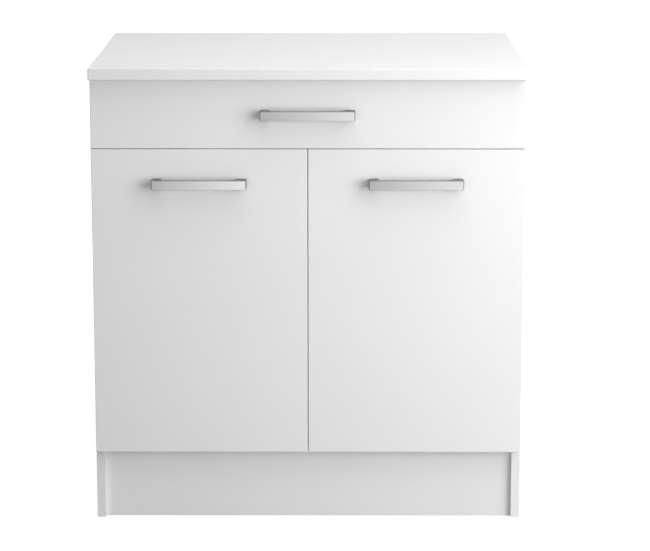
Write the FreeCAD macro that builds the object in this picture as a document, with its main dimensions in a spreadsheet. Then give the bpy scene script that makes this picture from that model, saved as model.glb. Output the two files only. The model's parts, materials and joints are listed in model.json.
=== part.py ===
import FreeCAD, Part
import os
import re
import Sketcher

# Kitchen base cabinet: one drawer over two doors, worktop on top, plinth below
# Millimetres, X to the right, Y to the back, Z up, origin on the floor at the middle of the box

Vector = FreeCAD.Vector
Rotation = FreeCAD.Rotation

# Driving sizes, one cell each
sizes = {
    # Whole cabinet
    "cabinetWidth": 800,
    "cabinetHeight": 860,
    "worktopDepth": 600,
    "worktopThick": 22,
    "worktopOverhang": 20,
    "worktopEdgeRadius": 2,
    # Carcass boards
    "boardThick": 16,
    "plinthHeight": 130,
    "plinthRecess": 10,
    "topRailDepth": 80,
    "backThick": 3,
    "backInset": 15,
    "grooveDepth": 6,
    "slotClearance": 0.2,
    "slotEndGap": 1,
    # Shelf and the pins under it
    "shelfTop": 463,
    "shelfSetback": 30,
    "shelfSideGap": 1,
    "shelfBackGap": 4,
    "shelfPinRadius": 2.5,
    "shelfPinStubRadius": 3.5,
    "shelfPinSink": 9,
    "shelfPinReach": 9,
    "shelfPinColumn": 70,
    "shelfPinPitch": 32,
    "seatGap": 0.1,
    # Doors and drawer front
    "frontThick": 16,
    "frontEdgeRadius": 1,
    "frontGap": 1.2,
    "sideReveal": 1.5,
    "topReveal": 1.5,
    "bottomReveal": 3,
    "doorGap": 3,
    "drawerFrontHeight": 126.5,
    "bumperRadius": 4,
    "bumperThick": 2.7,
    "bumperInset": 20,
    # Bow handles
    "handleLength": 174,
    "handleHeight": 17,
    "handleProjection": 28,
    "handleBarThick": 7,
    "handlePostWidth": 17,
    "handlePostTaper": 1.5,
    "handlePitch": 160,
    "handleEndRadius": 2.5,
    "handleInnerRadius": 2,
    "handleFaceRadius": 1,
    "doorHandleDrop": 63,
    "handleScrewRadius": 2,
    "handleScrewGrip": 10,
    "handleScrewHeadRadius": 4.2,
    "handleScrewHead": 2.2,
    # Drawer box
    "drawerSideThick": 12,
    "drawerSideHeight": 90,
    "drawerLength": 450,
    "drawerBottomThick": 3,
    "drawerBottomUp": 12,
    "drawerGroove": 5,
    "drawerCamUp": 60,
    "drawerCamReach": 24,
    "drawerCamHeight": 9.5,
    "backScrewLow": 25,
    "backScrewHigh": 62,
    "backScrewRadius": 2.4,
    "backScrewGrip": 26,
    "backScrewHeadRadius": 3.5,
    "backScrewHead": 3,
    # Roller runners
    "runnerUp": 10,
    "runnerSpace": 12.5,
    "runnerSheet": 1.2,
    "runnerFlange": 10,
    "runnerLength": 450,
    "runnerSetback": 2,
    "drawerLift": 3,
    "slideTip": 2.4,
    "flangePlay": 0.8,
    "rollerRadius": 9.5,
    "rollerWidth": 7,
    "rollerChamfer": 0.8,
    "rollerSideGap": 0.4,
    "rollerEndGap": 3,
    "runGap": 0.3,
    "axleRadius": 2.5,
    "axleHeadRadius": 4,
    "axleHead": 0.8,
    "runningClearance": 0.06,
    "runnerScrewRadius": 1.6,
    "runnerScrewGrip": 11,
    "runnerScrewHeadRadius": 3,
    "runnerScrewHead": 1,
    "runnerScrewFirst": 37,
    "runnerScrewPitch": 128,
    "runnerSlotFirst": 69,
    "runnerSlotHalf": 5,
    "runnerSlotRadius": 2.1,
    # Cup hinges
    "hingeInset": 100,
    "hingeLine": 37,
    "cupRadius": 17.5,
    "cupDepth": 12,
    "cupFit": 0.15,
    "cupWall": 1,
    "cupEdgeDistance": 3,
    "cupFlangeThick": 1.2,
    "cupFlangeNear": 17,
    "cupFlangeFar": 14,
    "cupFlangeHalf": 30,
    "cupFlangeCorner": 8,
    "cupScrewPitch": 45,
    "cupScrewOffset": 6,
    "cupScrewRadius": 1.6,
    "cupScrewGrip": 10,
    "cupScrewHeadRadius": 3,
    "cupScrewHead": 1,
    "hingePinRadius": 1.5,
    "hingePinEnd": 0.3,
    "lugGap": 0.3,
    "lugThick": 3.2,
    "lugNear": 2.3,
    "lugFar": 3.2,
    "lugHigh": 2.6,
    "barrelRadius": 2.5,
    "barrelGap": 0.35,
    "fingerHalf": 4.5,
    "fingerHigh": 1.4,
    "fingerLow": 1.6,
    "riserClear": 1.2,
    "riserBack": 9,
    "armHalf": 7.2,
    "armSheet": 1.7,
    "armTail": 24,
    "armSkirtGap": 0.3,
    "armEdgeRadius": 1.4,
    "armNotch": 9,
    "armNotchHalf": 2.3,
    "armHoleAhead": 14,
    "armHoleRadius": 2.2,
    "plateThick": 2,
    "plateHalfWidth": 9,
    "plateHalfHeight": 25,
    "plateCorner": 5,
    "blockRise": 4.3,
    "blockHalfLength": 20,
    "blockFit": 0.3,
    "plateScrewPitch": 32,
    "plateScrewRadius": 2.5,
    "plateScrewGrip": 10,
    "plateScrewHeadRadius": 4.2,
    "plateScrewHead": 1.5,
    # Cams, bolts, dowels and worktop screws
    "fittingPitch": 32,
    "fittingInset": 60,
    "camRadius": 7.35,
    "camHeight": 12,
    "camReach": 34,
    "camSlotClear": 0.5,
    "boltThreadRadius": 2.4,
    "boltSink": 10,
    "boltShankRadius": 3.5,
    "boltNeckRadius": 2,
    "boltNeck": 6,
    "boltHeadRadius": 3,
    "boltHead": 3,
    "dowelRadius": 3.9,
    "dowelSink": 11,
    "dowelReach": 19,
    "dowelChamfer": 1,
    "holeFit": 0.1,
    "screwClear": 0.2,
    "boltBoreClear": 0.5,
    "holeEnd": 1,
    "worktopScrewInset": 170,
    "worktopScrewRadius": 1.9,
    "worktopScrewGrip": 12,
    "worktopScrewHeadRadius": 3.8,
    "worktopScrewHead": 2.2,
}

# Places that follow from the sizes
layout = {
    "halfWidth": "cabinetWidth / 2",
    "insideHalf": "halfWidth - boardThick",
    "handleTipY": "-(worktopDepth + handleProjection - worktopOverhang) / 2",
    "frontY": "handleTipY + handleProjection",
    "frontBackY": "frontY + frontThick",
    "carcassFrontY": "frontBackY + doorGap",
    "worktopFrontY": "frontY - worktopOverhang",
    "backY": "worktopFrontY + worktopDepth",
    "backPanelY": "backY - backInset - backThick",
    "plinthY": "carcassFrontY + plinthRecess",
    "carcassTop": "cabinetHeight - worktopThick",
    "topRailLow": "carcassTop - boardThick",
    "frontHalf": "halfWidth - sideReveal",
    "doorLow": "plinthHeight + bottomReveal",
    "drawerFrontHigh": "carcassTop - topReveal",
    "drawerFrontLow": "drawerFrontHigh - drawerFrontHeight",
    "doorHigh": "drawerFrontLow - frontGap",
    "doorMiddle": "(frontHalf + frontGap / 2) / 2",
    "drawerMiddleZ": "(drawerFrontLow + drawerFrontHigh) / 2",
    "doorHandleZ": "doorHigh - doorHandleDrop",
    "shelfLow": "shelfTop - boardThick",
    "shelfPinZ": "shelfLow - seatGap - shelfPinStubRadius",
    "runnerLow": "drawerFrontLow + runnerUp",
    "trackZ": "runnerLow + runnerSheet",
    "slideFlangeZ": "trackZ + 2 * rollerRadius + 2 * runGap",
    "runnerHigh": "slideFlangeZ + 2 * runnerSheet + flangePlay",
    "runnerMiddleZ": "(runnerLow + runnerHigh) / 2",
    "runnerFrontY": "carcassFrontY + runnerSetback",
    "railRollerY": "runnerFrontY + rollerRadius + rollerEndGap",
    "railRollerZ": "slideFlangeZ - runGap - rollerRadius",
    "slideRollerY": "drawerBackY - rollerRadius - rollerEndGap",
    "slideRollerZ": "trackZ + runGap + rollerRadius",
    "railRollerIn": "runnerSheet + rollerSideGap",
    "slideRollerIn": "runnerSpace - runnerSheet - rollerSideGap",
    "drawerLow": "runnerLow + drawerLift",
    "drawerHigh": "drawerLow + drawerSideHeight",
    "drawerOuter": "insideHalf - runnerSpace",
    "drawerInner": "drawerOuter - drawerSideThick",
    "drawerBackY": "frontBackY + drawerLength",
    "drawerFloorZ": "drawerLow + drawerBottomUp",
    "drawerCamZ": "drawerLow + drawerCamUp",
    "bottomMiddleZ": "plinthHeight + boardThick / 2",
    "topMiddleZ": "carcassTop - boardThick / 2",
    "lowHingeZ": "doorLow + hingeInset",
    "highHingeZ": "doorHigh - hingeInset",
    "plateY": "carcassFrontY + hingeLine",
    # Hinge places, measured from the pivot
    "cupInner": "cupRadius - cupFit - cupWall",
    "fingerReach": "sqrt(cupInner ^ 2 - fingerHalf ^ 2)",
    "pivotInset": "cupEdgeDistance + cupRadius - fingerReach + barrelGap + barrelRadius",
    "pivotDepth": "frontThick - cupDepth + cupFit + cupWall + barrelGap + barrelRadius",
    "pivotX": "frontHalf - pivotInset",
    "pivotY": "frontY + pivotDepth",
    "cupX": "cupEdgeDistance + cupRadius - pivotInset",
    "doorBack": "frontThick - pivotDepth",
    "flangeTop": "doorBack + cupFlangeThick",
    "panelFace": "boardThick - sideReveal - pivotInset",
    "plateTop": "panelFace + plateThick",
    "blockTop": "plateTop + blockRise",
    "armTop": "blockTop + armSheet",
    "riserX": "flangeTop + riserClear",
    "plateMiddle": "doorBack + doorGap + hingeLine",
    "riserHigh": "doorBack + doorGap + riserBack",
    "armEnd": "plateMiddle + armTail",
    "lugStart": "fingerHalf + lugGap",
    "lugEnd": "lugStart + lugThick",
    "cupFloor": "doorBack - cupDepth + cupFit + cupWall / 2",
}

doc = FreeCAD.newDocument("KitchenBaseCabinet")
sheet = doc.addObject("Spreadsheet::Sheet", "Sizes")
for row, (alias, size) in enumerate(sizes.items(), start=1):
    sheet.set(f"A{row}", alias)
    sheet.set(f"B{row}", str(size))
    sheet.setAlias(f"B{row}", alias)
doc.recompute()

nodes = []
close = 0.01
leastCut = 1e-6


def formula(text):
    """Spell out a formula of sizes and places in terms of the sheet's cells."""

    def spell(match):
        word = match.group(0)
        if word in sizes:
            return f"Sizes.{word}"
        if word in layout:
            return f"({formula(layout[word])})"
        return word

    return re.sub(r"[A-Za-z]\w*", spell, str(text))


def number(text):
    """What a formula comes to with the present sizes."""
    return float(sheet.evalExpression(formula(text)))


def bind(thing, name, text):
    thing.setExpression(name, formula(text))


def newBody(label, isNode=True):
    body = doc.addObject("PartDesign::Body", label)
    body.Label = label
    if isNode:
        nodes.append(body)
    return body


def sketchOn(body, plane, height="0"):
    """A sketch parallel to one of the body's origin planes, at a given X, Y or Z."""
    sketch = body.newObject("Sketcher::SketchObject", f"{body.Name}Sketch")
    planes = {feature.Role: feature for feature in body.Origin.OriginFeatures}
    sketch.AttachmentSupport = [(planes[f"{plane}_Plane"], "")]
    sketch.MapMode = "FlatFace"
    sign = "-1" if plane == "XZ" else "1"
    bind(sketch, "AttachmentOffset.Base.z", f"{sign} * ({height})")
    return sketch


def tie(sketch, kind, value, *ends):
    index = sketch.addConstraint(Sketcher.Constraint(kind, *ends, number(value)))
    bind(sketch, f"Constraints[{index}]", value)


def tiePoint(sketch, geometry, point, spot):
    tie(sketch, "DistanceX", spot[0], -1, 1, geometry, point)
    tie(sketch, "DistanceY", spot[1], -1, 1, geometry, point)


def outline(sketch, spots):
    """A closed outline of straight lines, each corner held by formulas."""
    corners = [Vector(number(x), number(y), 0) for x, y in spots]
    first = sketch.GeometryCount
    count = len(corners)
    lines = [Part.LineSegment(corners[i], corners[(i + 1) % count]) for i in range(count)]
    sketch.addGeometry(lines, False)
    for i in range(count):
        sketch.addConstraint(Sketcher.Constraint("Coincident", first + i, 2, first + (i + 1) % count, 1))
        tiePoint(sketch, first + i, 1, spots[i])
    return sketch


def rectangle(sketch, left, right, low, high):
    return outline(sketch, [(left, low), (right, low), (right, high), (left, high)])


def circle(sketch, x, y, radius):
    ring = Part.Circle(Vector(number(x), number(y), 0), Vector(0, 0, 1), number(radius))
    index = sketch.addGeometry(ring, False)
    tiePoint(sketch, index, 3, (x, y))
    tie(sketch, "Radius", radius, index)
    return sketch


def extrude(kind, body, sketch, length, reverse, middle):
    feature = body.newObject(f"PartDesign::{kind}", f"{body.Name}{kind}")
    feature.Profile = sketch
    feature.SideType = "Symmetric" if middle else "One side"
    feature.Reversed = reverse
    bind(feature, "Length", length)
    return feature


def pad(body, sketch, length, reverse=False, middle=False):
    return extrude("Pad", body, sketch, length, reverse, middle)


def pocket(body, sketch, length, reverse=False, middle=False):
    return extrude("Pocket", body, sketch, length, reverse, middle)


def drill(body, plane, height, spots, radius, depth, reverse=False):
    """Round holes of one size, sunk from one face."""
    sketch = sketchOn(body, plane, height)
    for x, y in spots:
        circle(sketch, x, y, radius)
    pocket(body, sketch, depth, reverse)


def slots(body, height, spots, depth, reverse):
    """Oblong adjusting slots along Y in a runner's upright sheet."""
    half = "runnerSlotHalf"
    radius = "runnerSlotRadius"
    ends = [(f"{y} + {sign} * {half}", z) for y, z in spots for sign in (-1, 1)]
    drill(body, "YZ", height, ends, radius, depth, reverse)
    middles = sketchOn(body, "YZ", height)
    for y, z in spots:
        rectangle(middles, f"{y} - {half}", f"{y} + {half}", f"{z} - {radius}", f"{z} + {radius}")
    pocket(body, middles, depth, reverse)


def roundEdges(body, radius, wanted):
    doc.recompute()
    base = body.Tip
    picked = [f"Edge{i}" for i, edge in enumerate(base.Shape.Edges, start=1) if wanted(edge)]
    feature = body.newObject("PartDesign::Fillet", f"{body.Name}Round")
    feature.Base = (base, picked)
    bind(feature, "Radius", radius)


def runsAlong(edge, axis):
    direction = edge.tangentAt(edge.FirstParameter)
    return direction.cross(axis).Length < close


def turned(label, steps, bore=None, chamfer=None):
    """A round piece along local Y from steps of radius and length, with an optional bore or end chamfer."""
    body = newBody(label, isNode=False)
    core = bore or "0"
    spots = [(core, "0")]
    done = "0"
    for radius, length in steps:
        spots.append((radius, done))
        done = f"{done} + {length}"
        spots.append((radius, done))
    spots.append((core, done))
    if chamfer:
        tipRadius, tail = spots[-2]
        startRadius = spots[1][0]
        spots[-2:-1] = [(tipRadius, f"{tail} - {chamfer}"), (f"{tipRadius} - {chamfer}", tail)]
        spots[1:2] = [(f"{startRadius} - {chamfer}", "0"), (startRadius, chamfer)]
    sketch = outline(sketchOn(body, "XY"), spots)
    feature = body.newObject("PartDesign::Revolution", f"{body.Name}Turn")
    feature.Profile = sketch
    feature.ReferenceAxis = (sketch, ["V_Axis"])
    feature.Angle = 360
    return body


def copies(label, pattern, spots):
    """One node made of linked copies of a pattern piece, each at its own place and turn."""
    links = []
    for x, y, z, turn in spots:
        link = doc.addObject("App::Link", f"{label}Copy")
        link.LinkedObject = pattern
        link.LinkPlacement = FreeCAD.Placement(Vector(), turn)
        bind(link, "LinkPlacement.Base.x", x)
        bind(link, "LinkPlacement.Base.y", y)
        bind(link, "LinkPlacement.Base.z", z)
        links.append(link)
    group = doc.addObject("Part::Compound", label)
    group.Label = label
    group.Links = links
    nodes.append(group)


def pointing(direction):
    """The turn that sets a round piece's local Y along a direction."""
    return Rotation(Vector(0, 1, 0), direction)


def faced(x, y, z):
    return Rotation(x, y, z, "ZXY")


right = Vector(1, 0, 0)
back = Vector(0, 1, 0)
up = Vector(0, 0, 1)
level = Rotation()
halfTurn = Rotation(back, 180)
hands = {"left": -1, "right": 1}

# Fixing points on both carcass sides as Y and Z: bottom panel, top rails, plinth
bottomBolts = [
    ("carcassFrontY + fittingInset", "bottomMiddleZ"),
    ("backPanelY - fittingInset", "bottomMiddleZ"),
]
bottomDowels = [
    ("carcassFrontY + fittingInset + fittingPitch", "bottomMiddleZ"),
    ("backPanelY - fittingInset - fittingPitch", "bottomMiddleZ"),
]
frontRailBolts = [("carcassFrontY + topRailDepth / 2 - fittingPitch / 2", "topMiddleZ")]
frontRailDowels = [("carcassFrontY + topRailDepth / 2 + fittingPitch / 2", "topMiddleZ")]
rearRailBolts = [("backPanelY - topRailDepth / 2 - fittingPitch / 2", "topMiddleZ")]
rearRailDowels = [("backPanelY - topRailDepth / 2 + fittingPitch / 2", "topMiddleZ")]
plinthBolts = [("plinthY + boardThick / 2", "plinthHeight / 2 + fittingPitch / 2")]
plinthDowels = [("plinthY + boardThick / 2", "plinthHeight / 2 - fittingPitch / 2")]
levelBolts = bottomBolts + frontRailBolts + rearRailBolts
allBolts = levelBolts + plinthBolts
allDowels = bottomDowels + frontRailDowels + rearRailDowels + plinthDowels
shelfPinColumns = ["carcassFrontY + shelfPinColumn", "backPanelY - shelfPinColumn"]
hingeHeights = {"lower": "lowHingeZ", "upper": "highHingeZ"}
plateScrews = [
    ("plateY", f"{height} + {sign} * plateScrewPitch / 2")
    for height in hingeHeights.values()
    for sign in (-1, 1)
]
runnerRow = [f"runnerScrewFirst + {i} * runnerScrewPitch" for i in range(3)]
runnerScrews = [(f"carcassFrontY + {along}", "runnerMiddleZ") for along in runnerRow]
slideScrews = [(f"frontBackY + {along}", "runnerMiddleZ") for along in runnerRow]
slotRow = [f"runnerSlotFirst + {i} * runnerScrewPitch / 2" for i in (0, 1, 2, 3, 4)]
runnerSlots = [(f"carcassFrontY + {along}", "runnerMiddleZ") for along in slotRow]
slideSlots = [(f"frontBackY + {along}", "runnerMiddleZ") for along in slotRow]


def sidePanel(hand, side):
    body = newBody(f"{hand}_side_panel")
    start = "-halfWidth" if side < 0 else "insideHalf"
    face = f"{side} * insideHalf"
    inward = side > 0
    board = rectangle(sketchOn(body, "YZ", start), "carcassFrontY", "backY", "0", "carcassTop")
    pad(body, board, "boardThick")
    groove = rectangle(
        sketchOn(body, "YZ", face),
        "backPanelY - slotClearance",
        "backPanelY + backThick + slotClearance",
        "plinthHeight - slotClearance",
        "carcassTop + grooveDepth",
    )
    pocket(body, groove, "grooveDepth", inward)
    pinHoles = [(y, f"shelfPinZ + {row} * shelfPinPitch") for y in shelfPinColumns for row in (-1, 0, 1)]
    drill(body, "YZ", face, pinHoles, "shelfPinRadius + holeFit", "shelfPinSink + holeEnd", inward)
    drill(body, "YZ", face, allBolts, "boltThreadRadius + holeFit", "boltSink + holeEnd", inward)
    drill(body, "YZ", face, allDowels, "dowelRadius + holeFit", "dowelSink + holeEnd", inward)
    drill(body, "YZ", face, plateScrews, "plateScrewRadius + holeFit", "plateScrewGrip + holeEnd", inward)
    drill(body, "YZ", face, runnerScrews, "runnerScrewRadius + holeFit", "runnerScrewGrip + holeEnd", inward)


def drillEnds(body, bolts, dowels):
    """Bolt and dowel holes in both ends of a board that spans the carcass."""
    for side in hands.values():
        end = f"{side} * insideHalf"
        inward = side < 0
        drill(body, "YZ", end, bolts, "boltShankRadius + boltBoreClear", "camReach", inward)
        drill(body, "YZ", end, dowels, "dowelRadius + holeFit", "dowelReach + holeEnd", inward)


def camPockets(body, bolts, low):
    spots = [(f"{side} * (insideHalf - camReach)", y) for side in hands.values() for y, z in bolts]
    drill(body, "XY", low, spots, "camRadius + holeFit", "camHeight + holeFit", reverse=True)


def bottomPanel():
    body = newBody("bottom_panel")
    board = sketchOn(body, "XY", "plinthHeight")
    rectangle(board, "-insideHalf", "insideHalf", "carcassFrontY", "backPanelY")
    pad(body, board, "boardThick")
    drillEnds(body, bottomBolts, bottomDowels)
    camPockets(body, bottomBolts, "plinthHeight")


def topRail(label, low, high, bolts, dowels):
    body = newBody(label)
    board = rectangle(sketchOn(body, "XY", "topRailLow"), "-insideHalf", "insideHalf", low, high)
    pad(body, board, "boardThick")
    drillEnds(body, bolts, dowels)
    camPockets(body, bolts, "topRailLow")
    middle = f"({low} + {high}) / 2"
    spots = [(f"{side} * (insideHalf - worktopScrewInset)", middle) for side in hands.values()]
    drill(body, "XY", "carcassTop", spots, "worktopScrewRadius + screwClear", "boardThick")


def backPanel():
    body = newBody("back_panel")
    half = "(insideHalf + grooveDepth - slotEndGap)"
    board = rectangle(sketchOn(body, "XZ", "backPanelY"), f"-{half}", half, "plinthHeight", "carcassTop")
    pad(body, board, "backThick", reverse=True)


def plinth():
    body = newBody("plinth")
    board = rectangle(sketchOn(body, "XZ", "plinthY"), "-insideHalf", "insideHalf", "0", "plinthHeight")
    pad(body, board, "boardThick", reverse=True)
    drillEnds(body, plinthBolts, plinthDowels)
    spots = [(f"{side} * (insideHalf - camReach)", plinthBolts[0][1]) for side in hands.values()]
    inner = "plinthY + boardThick"
    drill(body, "XZ", inner, spots, "camRadius + holeFit", "camHeight + holeFit", reverse=True)


def worktop():
    body = newBody("worktop")
    board = rectangle(sketchOn(body, "XY", "carcassTop"), "-halfWidth", "halfWidth", "worktopFrontY", "backY")
    pad(body, board, "worktopThick")
    top = number("cabinetHeight") - close
    front = number("worktopFrontY") + close

    def shows(edge):
        return edge.BoundBox.ZMin > top or edge.BoundBox.YMax < front

    roundEdges(body, "worktopEdgeRadius", shows)
    rows = ["carcassFrontY + topRailDepth / 2", "backPanelY - topRailDepth / 2"]
    spots = [(f"{side} * (insideHalf - worktopScrewInset)", y) for side in hands.values() for y in rows]
    depth = "worktopScrewGrip + holeEnd"
    drill(body, "XY", "carcassTop", spots, "worktopScrewRadius + holeFit", depth, reverse=True)
    return spots


def shelf():
    body = newBody("shelf")
    half = "(insideHalf - shelfSideGap)"
    front = "carcassFrontY + shelfSetback"
    board = rectangle(sketchOn(body, "XY", "shelfLow"), f"-{half}", half, front, "backPanelY - shelfBackGap")
    pad(body, board, "boardThick")


def frontBoard(label, left, edge, low, high):
    """A door or drawer front with rounded edge bands on its front and back outlines."""
    body = newBody(label)
    board = rectangle(sketchOn(body, "XZ", "frontY"), left, edge, low, high)
    pad(body, board, "frontThick", reverse=True)
    roundEdges(body, "frontEdgeRadius", lambda line: not runsAlong(line, back))
    return body


def handleHoles(body, x, z):
    spots = [(f"{x} + {sign} * handlePitch / 2", z) for sign in (-1, 1)]
    drill(body, "XZ", "frontBackY", spots, "handleScrewRadius + screwClear", "frontThick", reverse=True)


def door(hand, side):
    low, high = sorted((f"{side} * frontGap / 2", f"{side} * frontHalf"), key=number)
    body = frontBoard(f"{hand}_door", low, high, "doorLow", "doorHigh")
    cupSpot = f"{side} * (frontHalf - cupEdgeDistance - cupRadius)"
    cups = [(cupSpot, height) for height in hingeHeights.values()]
    drill(body, "XZ", "frontBackY", cups, "cupRadius", "cupDepth", reverse=True)
    screwX = f"{side} * (frontHalf - cupEdgeDistance - cupRadius - cupScrewOffset)"
    heights = hingeHeights.values()
    screws = [(screwX, f"{z} + {sign} * cupScrewPitch / 2") for z in heights for sign in (-1, 1)]
    depth = "cupScrewGrip + holeEnd"
    drill(body, "XZ", "frontBackY", screws, "cupScrewRadius + holeFit", depth, reverse=True)
    handleHoles(body, f"{side} * doorMiddle", "doorHandleZ")


def drawerFront():
    body = frontBoard("drawer_front", "-frontHalf", "frontHalf", "drawerFrontLow", "drawerFrontHigh")
    groove = rectangle(
        sketchOn(body, "XZ", "frontBackY"),
        "-(drawerInner + drawerGroove)",
        "drawerInner + drawerGroove",
        "drawerFloorZ - slotClearance",
        "drawerFloorZ + drawerBottomThick + slotClearance",
    )
    pocket(body, groove, "drawerGroove", reverse=True)
    bolts = [(f"{side} * (drawerOuter - drawerSideThick / 2)", "drawerCamZ") for side in hands.values()]
    drill(body, "XZ", "frontBackY", bolts, "boltThreadRadius + holeFit", "boltSink + holeEnd", reverse=True)
    handleHoles(body, "0", "drawerMiddleZ")


def drawerSide(hand, side):
    body = newBody(f"drawer_{hand}_side")
    start = "-drawerOuter" if side < 0 else "drawerInner"
    face = f"{side} * drawerInner"
    outside = f"{side} * drawerOuter"
    outward = side > 0
    board = rectangle(sketchOn(body, "YZ", start), "frontBackY", "drawerBackY", "drawerLow", "drawerHigh")
    pad(body, board, "drawerSideThick")
    groove = rectangle(
        sketchOn(body, "YZ", face),
        "frontBackY - drawerGroove",
        "drawerBackY + drawerGroove",
        "drawerFloorZ - slotClearance",
        "drawerFloorZ + drawerBottomThick + slotClearance",
    )
    pocket(body, groove, "drawerGroove", outward)
    camSpot = [("frontBackY + drawerCamReach", "drawerCamZ")]
    drill(body, "YZ", face, camSpot, "camRadius + holeFit", "drawerCamHeight + holeFit", outward)
    boltSpot = [(f"{side} * (drawerOuter - drawerSideThick / 2)", "drawerCamZ")]
    drill(body, "XZ", "frontBackY", boltSpot, "boltShankRadius + boltBoreClear", "drawerCamReach")
    backScrews = [("drawerBackY - drawerSideThick / 2", f"drawerLow + {rise}") for rise in backScrewRises]
    drill(body, "YZ", outside, backScrews, "backScrewRadius + holeFit", "drawerSideThick", not outward)
    drill(body, "YZ", outside, backScrews, "backScrewHeadRadius + holeFit", "backScrewHead", not outward)
    drill(body, "YZ", outside, slideScrews, "runnerScrewRadius + holeFit", "drawerSideThick / 2", not outward)


def drawerBack():
    body = newBody("drawer_back")
    low = "drawerFloorZ + drawerBottomThick + slotClearance"
    board = sketchOn(body, "XZ", "drawerBackY - drawerSideThick")
    rectangle(board, "-drawerInner", "drawerInner", low, "drawerHigh")
    pad(body, board, "drawerSideThick", reverse=True)
    for side in hands.values():
        spots = [("drawerBackY - drawerSideThick / 2", f"drawerLow + {rise}") for rise in backScrewRises]
        depth = "backScrewGrip + holeEnd"
        drill(body, "YZ", f"{side} * drawerInner", spots, "backScrewRadius + holeFit", depth, side < 0)


def drawerBottom():
    body = newBody("drawer_bottom")
    half = "(drawerInner + drawerGroove - slotEndGap)"
    front = "frontBackY - drawerGroove + slotEndGap"
    board = rectangle(sketchOn(body, "XY", "drawerFloorZ"), f"-{half}", half, front, "drawerBackY")
    pad(body, board, "drawerBottomThick")


def axle(body, side, start, length, y, z, away):
    """A riveted axle: a stub for the roller with a flat head that keeps it on."""
    direction = side * away
    stub = circle(sketchOn(body, "YZ", f"{side} * (insideHalf - ({start}))"), y, z, "axleRadius")
    pad(body, stub, length, reverse=direction > 0)
    tip = f"{side} * (insideHalf - ({start}) - {away} * ({length}))"
    head = circle(sketchOn(body, "YZ", tip), y, z, "axleHeadRadius")
    pad(body, head, "axleHead", reverse=direction > 0)


def profileAcross(side, spots):
    return [(f"{side} * (insideHalf - ({across}))", z) for across, z in spots]


def runnerRail(hand, side):
    """The cabinet half of a runner: a channel with its roller's axle at the front."""
    body = newBody(f"{hand}_runner_rail")
    channel = [
        ("0", "runnerLow"),
        ("runnerFlange", "runnerLow"),
        ("runnerFlange", "trackZ"),
        ("runnerSheet", "trackZ"),
        ("runnerSheet", "runnerHigh - runnerSheet"),
        ("runnerFlange", "runnerHigh - runnerSheet"),
        ("runnerFlange", "runnerHigh"),
        ("0", "runnerHigh"),
    ]
    section = outline(sketchOn(body, "XZ", "runnerFrontY"), profileAcross(side, channel))
    pad(body, section, "runnerLength", reverse=True)
    inner = f"{side} * (insideHalf - runnerSheet)"
    drill(body, "YZ", inner, runnerScrews, "runnerScrewRadius + holeFit", "runnerSheet", side > 0)
    slots(body, inner, runnerSlots, "runnerSheet", side > 0)
    axle(body, side, "0", "railRollerIn + rollerWidth + rollerSideGap", "railRollerY", "railRollerZ", 1)


def drawerSlide(hand, side):
    """The drawer half of a runner: it carries the side's lower edge and its roller at the back."""
    body = newBody(f"{hand}_drawer_slide")
    strip = [
        ("slideTip", "slideFlangeZ"),
        ("runnerSpace - runnerSheet", "slideFlangeZ"),
        ("runnerSpace - runnerSheet", "drawerLow - runnerSheet"),
        ("runnerSpace + drawerSideThick", "drawerLow - runnerSheet"),
        ("runnerSpace + drawerSideThick", "drawerLow"),
        ("runnerSpace", "drawerLow"),
        ("runnerSpace", "slideFlangeZ + runnerSheet"),
        ("slideTip", "slideFlangeZ + runnerSheet"),
    ]
    section = outline(sketchOn(body, "XZ", "frontBackY + runnerSetback"), profileAcross(side, strip))
    pad(body, section, "drawerLength - runnerSetback", reverse=True)
    outer = f"{side} * (insideHalf - runnerSpace + runnerSheet)"
    drill(body, "YZ", outer, slideScrews, "runnerScrewRadius + holeFit", "runnerSheet", side < 0)
    slots(body, outer, slideSlots, "runnerSheet", side < 0)
    length = "runnerSheet + 2 * rollerSideGap + rollerWidth"
    axle(body, side, "runnerSpace", length, "slideRollerY", "slideRollerZ", -1)


def handlePattern():
    """A flat bow handle: one bar with a post at each end, bored for its two screws."""
    body = newBody("bowHandle", isNode=False)
    end = "handleLength / 2"
    inside = f"({end} - handlePostWidth)"
    depth = "(handleBarThick - handleProjection)"
    spots = [
        (f"-{end}", "0"),
        (f"-{end}", "-handleProjection"),
        (end, "-handleProjection"),
        (end, "0"),
        (inside, "0"),
        (f"{inside} - handlePostTaper", depth),
        (f"-({inside} - handlePostTaper)", depth),
        (f"-{inside}", "0"),
    ]
    pad(body, outline(sketchOn(body, "XY"), spots), "handleHeight", middle=True)
    face = number("-handleProjection") + close
    root = number(depth) + close

    def frontCorner(edge):
        return runsAlong(edge, up) and edge.BoundBox.YMax < face

    def innerCorner(edge):
        box = edge.BoundBox
        return runsAlong(edge, up) and face < box.YMin and box.YMax < root

    def faceEdge(edge):
        return edge.BoundBox.YMax < face and not runsAlong(edge, up)

    roundEdges(body, "handleEndRadius", frontCorner)
    roundEdges(body, "handleInnerRadius", innerCorner)
    roundEdges(body, "handleFaceRadius", faceEdge)
    spots = [(f"{sign} * handlePitch / 2", "0") for sign in (-1, 1)]
    drill(body, "XZ", "0", spots, "handleScrewRadius + holeFit", "handleScrewGrip + holeEnd", reverse=True)
    return body


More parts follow.
